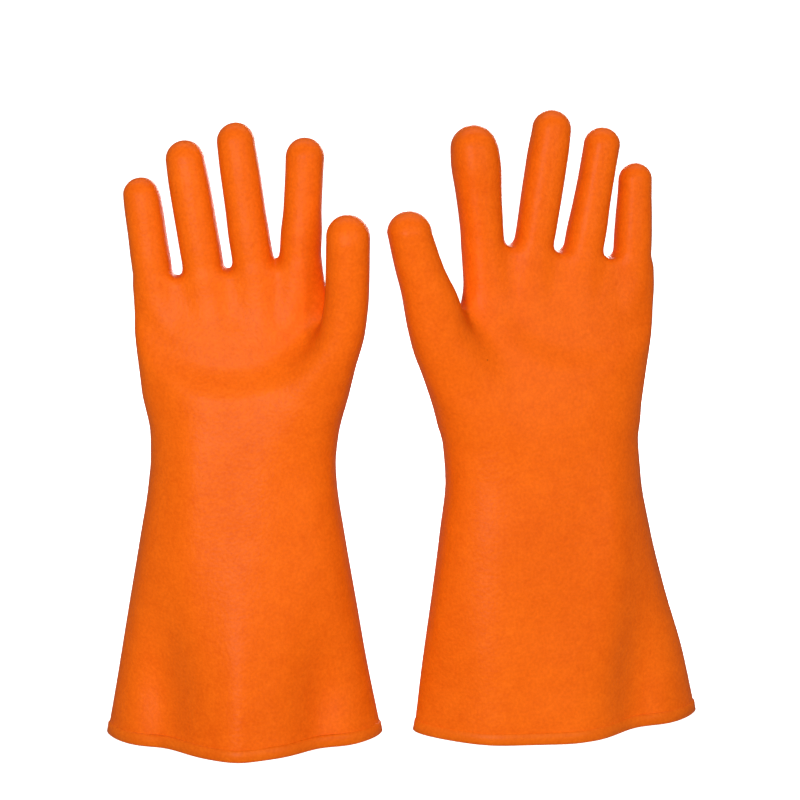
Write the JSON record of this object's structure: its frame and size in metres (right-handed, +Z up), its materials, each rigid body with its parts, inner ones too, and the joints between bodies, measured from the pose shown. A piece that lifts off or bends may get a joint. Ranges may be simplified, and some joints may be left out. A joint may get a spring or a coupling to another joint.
{
  "type": "pair of electrical insulating gloves",
  "caption": "Pair of long dipped rubber electrical insulating gloves with flared gauntlets and thick rolled edges, standing on their cuffs, that bend at wrists and fingers.",
  "frame": {"origin": "on the surface the gloves stand on, at the middle of the pair", "axes": "+Z up along the forearms to the fingertips, +X across from the right-hand glove to the left-hand glove, palms facing -Y"},
  "size_m": [0.3405, 0.0979, 0.3583],
  "materials": {
    "glove_rubber": "satin orange dipped natural rubber, lightly chlorinated",
    "band_rubber": "the same rubber, thicker, at the rolled cuff edge"
  },
  "bodies": {
    "right_cuff": {"right_cuff_band": "band_rubber", "right_gauntlet": "glove_rubber", "right_wrist": "glove_rubber"},
    "right_hand": {"right_hand": "glove_rubber", "right_little_knuckle": "glove_rubber", "right_ring_knuckle": "glove_rubber", "right_middle_knuckle": "glove_rubber", "right_index_knuckle": "glove_rubber", "right_thumb_knuckle": "glove_rubber"},
    "right_little_lower": {"right_little_lower": "glove_rubber", "right_little_bend": "glove_rubber"},
    "right_little_tip": {"right_little_tip": "glove_rubber"},
    "right_ring_lower": {"right_ring_lower": "glove_rubber", "right_ring_bend": "glove_rubber"},
    "right_ring_tip": {"right_ring_tip": "glove_rubber"},
    "right_middle_lower": {"right_middle_lower": "glove_rubber", "right_middle_bend": "glove_rubber"},
    "right_middle_tip": {"right_middle_tip": "glove_rubber"},
    "right_index_lower": {"right_index_lower": "glove_rubber", "right_index_bend": "glove_rubber"},
    "right_index_tip": {"right_index_tip": "glove_rubber"},
    "right_thumb_lower": {"right_thumb_lower": "glove_rubber", "right_thumb_bend": "glove_rubber"},
    "right_thumb_tip": {"right_thumb_tip": "glove_rubber"},
    "left_cuff": {"left_cuff_band": "band_rubber", "left_gauntlet": "glove_rubber", "left_wrist": "glove_rubber"},
    "left_hand": {"left_hand": "glove_rubber", "left_little_knuckle": "glove_rubber", "left_ring_knuckle": "glove_rubber", "left_middle_knuckle": "glove_rubber", "left_index_knuckle": "glove_rubber", "left_thumb_knuckle": "glove_rubber"},
    "left_little_lower": {"left_little_lower": "glove_rubber", "left_little_bend": "glove_rubber"},
    "left_little_tip": {"left_little_tip": "glove_rubber"},
    "left_ring_lower": {"left_ring_lower": "glove_rubber", "left_ring_bend": "glove_rubber"},
    "left_ring_tip": {"left_ring_tip": "glove_rubber"},
    "left_middle_lower": {"left_middle_lower": "glove_rubber", "left_middle_bend": "glove_rubber"},
    "left_middle_tip": {"left_middle_tip": "glove_rubber"},
    "left_index_lower": {"left_index_lower": "glove_rubber", "left_index_bend": "glove_rubber"},
    "left_index_tip": {"left_index_tip": "glove_rubber"},
    "left_thumb_lower": {"left_thumb_lower": "glove_rubber", "left_thumb_bend": "glove_rubber"},
    "left_thumb_tip": {"left_thumb_tip": "glove_rubber"}
  },
  "joints": [
    {"name": "right_wrist_hinge", "type": "hinge", "parent": "right_cuff", "child": "right_hand", "pos_m": [-0.08773, -0.0101, 0.164], "axis": [1, 0, 0], "range_deg": [-35, 45], "stiffness_Nm_per_rad": 1, "deforming": ["right_wrist"]},
    {"name": "right_little_knuckle_hinge", "type": "hinge", "parent": "right_hand", "child": "right_little_lower", "pos_m": [-0.13702, -0.01087, 0.28093], "axis": [0.9951, 0, 0.0993], "range_deg": [0, 45], "stiffness_Nm_per_rad": 0.15, "deforming": ["right_little_knuckle"]},
    {"name": "right_little_middle_hinge", "type": "hinge", "parent": "right_little_lower", "child": "right_little_tip", "pos_m": [-0.13856, -0.01195, 0.29632], "axis": [0.9951, 0, 0.0993], "range_deg": [0, 60], "stiffness_Nm_per_rad": 0.15, "deforming": ["right_little_bend"]},
    {"name": "right_ring_knuckle_hinge", "type": "hinge", "parent": "right_hand", "child": "right_ring_lower", "pos_m": [-0.1094, -0.01087, 0.28437], "axis": [0.991, 0, 0.134], "range_deg": [0, 45], "stiffness_Nm_per_rad": 0.15, "deforming": ["right_ring_knuckle"]},
    {"name": "right_ring_middle_hinge", "type": "hinge", "parent": "right_ring_lower", "child": "right_ring_tip", "pos_m": [-0.11261, -0.01254, 0.3081], "axis": [0.991, 0, 0.134], "range_deg": [0, 60], "stiffness_Nm_per_rad": 0.15, "deforming": ["right_ring_bend"]},
    {"name": "right_middle_knuckle_hinge", "type": "hinge", "parent": "right_hand", "child": "right_middle_lower", "pos_m": [-0.08199, -0.01087, 0.28835], "axis": [0.9934, 0, 0.1149], "range_deg": [0, 45], "stiffness_Nm_per_rad": 0.15, "deforming": ["right_middle_knuckle"]},
    {"name": "right_middle_middle_hinge", "type": "hinge", "parent": "right_middle_lower", "child": "right_middle_tip", "pos_m": [-0.08506, -0.01273, 0.31486], "axis": [0.9934, 0, 0.1149], "range_deg": [0, 60], "stiffness_Nm_per_rad": 0.15, "deforming": ["right_middle_bend"]},
    {"name": "right_index_knuckle_hinge", "type": "hinge", "parent": "right_hand", "child": "right_index_lower", "pos_m": [-0.05354, -0.01087, 0.29244], "axis": [0.998, 0, -0.0628], "range_deg": [0, 45], "stiffness_Nm_per_rad": 0.15, "deforming": ["right_index_knuckle"]},
    {"name": "right_index_middle_hinge", "type": "hinge", "parent": "right_index_lower", "child": "right_index_tip", "pos_m": [-0.05226, -0.0123, 0.31285], "axis": [0.998, 0, -0.0628], "range_deg": [0, 60], "stiffness_Nm_per_rad": 0.15, "deforming": ["right_index_bend"]},
    {"name": "right_thumb_knuckle_hinge", "type": "hinge", "parent": "right_hand", "child": "right_thumb_lower", "pos_m": [-0.02999, -0.02795, 0.2566], "axis": [0.8549, -0.483, -0.1895], "range_deg": [0, 36], "stiffness_Nm_per_rad": 0.15, "deforming": ["right_thumb_knuckle"]},
    {"name": "right_thumb_middle_hinge", "type": "hinge", "parent": "right_thumb_lower", "child": "right_thumb_tip", "pos_m": [-0.02888, -0.03222, 0.2725], "axis": [0.8549, -0.483, -0.1895], "range_deg": [0, 48], "stiffness_Nm_per_rad": 0.15, "deforming": ["right_thumb_bend"]},
    {"name": "left_wrist_hinge", "type": "hinge", "parent": "left_cuff", "child": "left_hand", "pos_m": [0.08338, 0.00639, 0.17], "axis": [1, 0, 0], "range_deg": [-35, 45], "stiffness_Nm_per_rad": 1, "deforming": ["left_wrist"]},
    {"name": "left_little_knuckle_hinge", "type": "hinge", "parent": "left_hand", "child": "left_little_lower", "pos_m": [0.13192, 0.01505, 0.28654], "axis": [0.9816, 0.1908, 0.0087], "range_deg": [0, 45], "stiffness_Nm_per_rad": 0.15, "deforming": ["left_little_knuckle"]},
    {"name": "left_little_middle_hinge", "type": "hinge", "parent": "left_little_lower", "child": "left_little_tip", "pos_m": [0.132, 0.01396, 0.30201], "axis": [0.9816, 0.1908, 0.0087], "range_deg": [0, 60], "stiffness_Nm_per_rad": 0.15, "deforming": ["left_little_bend"]},
    {"name": "left_ring_knuckle_hinge", "type": "hinge", "parent": "left_hand", "child": "left_ring_lower", "pos_m": [0.10505, 0.00982, 0.29009], "axis": [0.9721, 0.189, -0.1392], "range_deg": [0, 45], "stiffness_Nm_per_rad": 0.15, "deforming": ["left_ring_knuckle"]},
    {"name": "left_ring_middle_hinge", "type": "hinge", "parent": "left_ring_lower", "child": "left_ring_tip", "pos_m": [0.10864, 0.00882, 0.3138], "axis": [0.9721, 0.189, -0.1392], "range_deg": [0, 60], "stiffness_Nm_per_rad": 0.15, "deforming": ["left_ring_bend"]},
    {"name": "left_middle_knuckle_hinge", "type": "hinge", "parent": "left_hand", "child": "left_middle_lower", "pos_m": [0.07687, 0.00434, 0.29429], "axis": [0.9745, 0.1894, -0.1201], "range_deg": [0, 45], "stiffness_Nm_per_rad": 0.15, "deforming": ["left_middle_knuckle"]},
    {"name": "left_middle_middle_hinge", "type": "hinge", "parent": "left_middle_lower", "child": "left_middle_tip", "pos_m": [0.08037, 0.00313, 0.32078], "axis": [0.9745, 0.1894, -0.1201], "range_deg": [0, 60], "stiffness_Nm_per_rad": 0.15, "deforming": ["left_middle_bend"]},
    {"name": "left_index_knuckle_hinge", "type": "hinge", "parent": "left_hand", "child": "left_index_lower", "pos_m": [0.04536, -0.00178, 0.29883], "axis": [0.9749, 0.1895, 0.1167], "range_deg": [0, 45], "stiffness_Nm_per_rad": 0.15, "deforming": ["left_index_knuckle"]},
    {"name": "left_index_middle_hinge", "type": "hinge", "parent": "left_index_lower", "child": "left_index_tip", "pos_m": [0.04329, -0.00364, 0.31914], "axis": [0.9749, 0.1895, 0.1167], "range_deg": [0, 60], "stiffness_Nm_per_rad": 0.15, "deforming": ["left_index_bend"]},
    {"name": "left_thumb_knuckle_hinge", "type": "hinge", "parent": "left_hand", "child": "left_thumb_lower", "pos_m": [0.01296, -0.02548, 0.26716], "axis": [0.6837, 0.6249, 0.377], "range_deg": [0, 36], "stiffness_Nm_per_rad": 0.15, "deforming": ["left_thumb_knuckle"]},
    {"name": "left_thumb_middle_hinge", "type": "hinge", "parent": "left_thumb_lower", "child": "left_thumb_tip", "pos_m": [0.0092, -0.03056, 0.2824], "axis": [0.6837, 0.6249, 0.377], "range_deg": [0, 48], "stiffness_Nm_per_rad": 0.15, "deforming": ["left_thumb_bend"]},
    {"name": "gloves_apart", "type": "slide", "parent": "right_cuff", "child": "left_cuff", "axis": [1, 0, 0], "range_m": [0, 0.2]}
  ],
  "couplings": [
    {"joint": "right_little_middle_hinge", "follows": "right_little_knuckle_hinge", "ratio": 1.3333},
    {"joint": "right_ring_middle_hinge", "follows": "right_ring_knuckle_hinge", "ratio": 1.3333},
    {"joint": "right_middle_middle_hinge", "follows": "right_middle_knuckle_hinge", "ratio": 1.3333},
    {"joint": "right_index_middle_hinge", "follows": "right_index_knuckle_hinge", "ratio": 1.3333},
    {"joint": "right_thumb_middle_hinge", "follows": "right_thumb_knuckle_hinge", "ratio": 1.3333},
    {"joint": "left_little_middle_hinge", "follows": "left_little_knuckle_hinge", "ratio": 1.3333},
    {"joint": "left_ring_middle_hinge", "follows": "left_ring_knuckle_hinge", "ratio": 1.3333},
    {"joint": "left_middle_middle_hinge", "follows": "left_middle_knuckle_hinge", "ratio": 1.3333},
    {"joint": "left_index_middle_hinge", "follows": "left_index_knuckle_hinge", "ratio": 1.3333},
    {"joint": "left_thumb_middle_hinge", "follows": "left_thumb_knuckle_hinge", "ratio": 1.3333}
  ]
}
